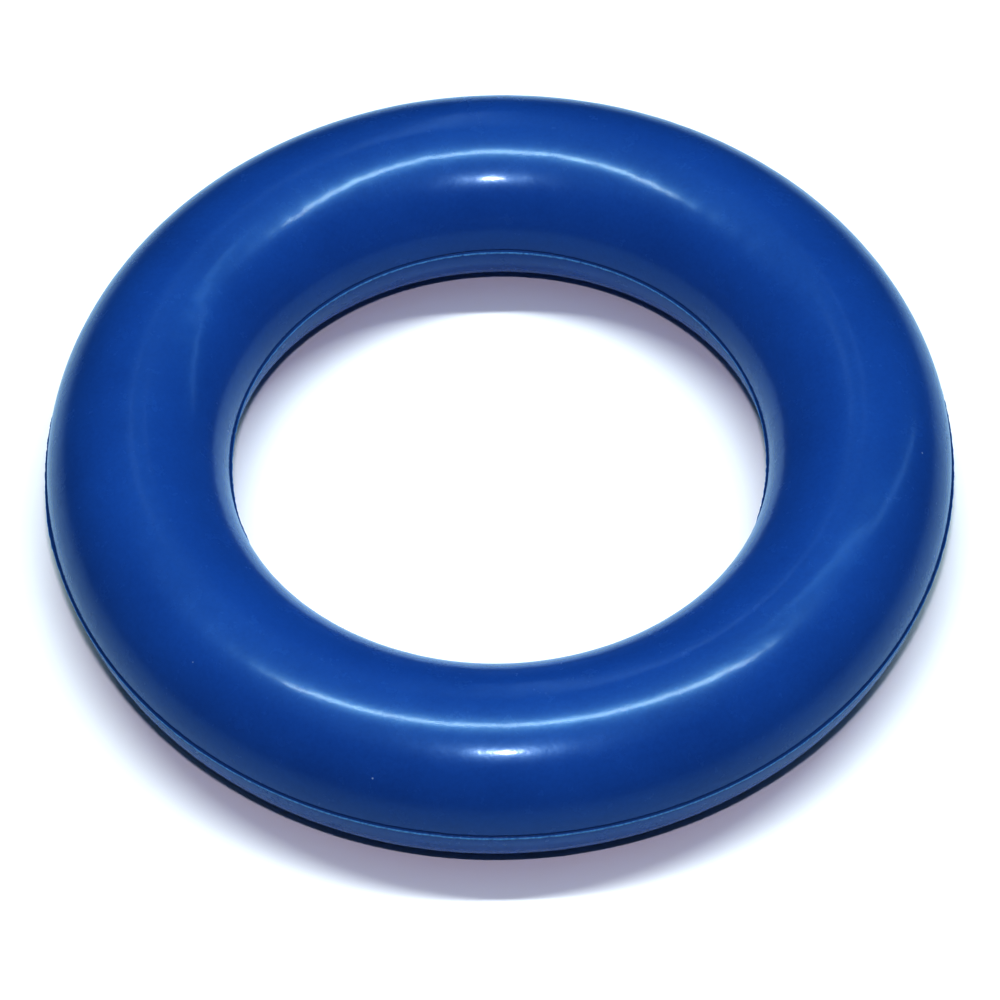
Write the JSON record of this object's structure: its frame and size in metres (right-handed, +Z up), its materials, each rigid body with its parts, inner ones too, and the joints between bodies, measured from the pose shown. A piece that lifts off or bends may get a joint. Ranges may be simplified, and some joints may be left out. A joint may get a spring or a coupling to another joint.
{
  "type": "throwing ring",
  "caption": "Hollow blue rubber throwing ring of round section, with a fine raised moulding line round the outside and round the hole.",
  "frame": {"origin": "centre of the ring, on the plane it rests on", "axes": "+Z up, along the ring's axis of symmetry; +X and +Y lie in the plane it rests on, and the hidden inflation plug is towards +Y"},
  "size_m": [0.1657, 0.1658, 0.0334],
  "materials": {
    "upper_rubber": "glossy moulded blue rubber, with faint haze from handling",
    "lower_rubber": "the same blue rubber, slightly less glossy on the side it rests on",
    "joint_rubber": "the same blue rubber, satin, paler where the rim was trimmed",
    "raw_gum": "unpigmented soft gum, matte"
  },
  "bodies": {
    "root": {"upper_half_shell": "upper_rubber", "lower_half_shell": "lower_rubber", "outer_joint_strip": "joint_rubber", "inner_joint_strip": "joint_rubber", "self_sealing_plug": "raw_gum"}
  },
  "joints": []
}
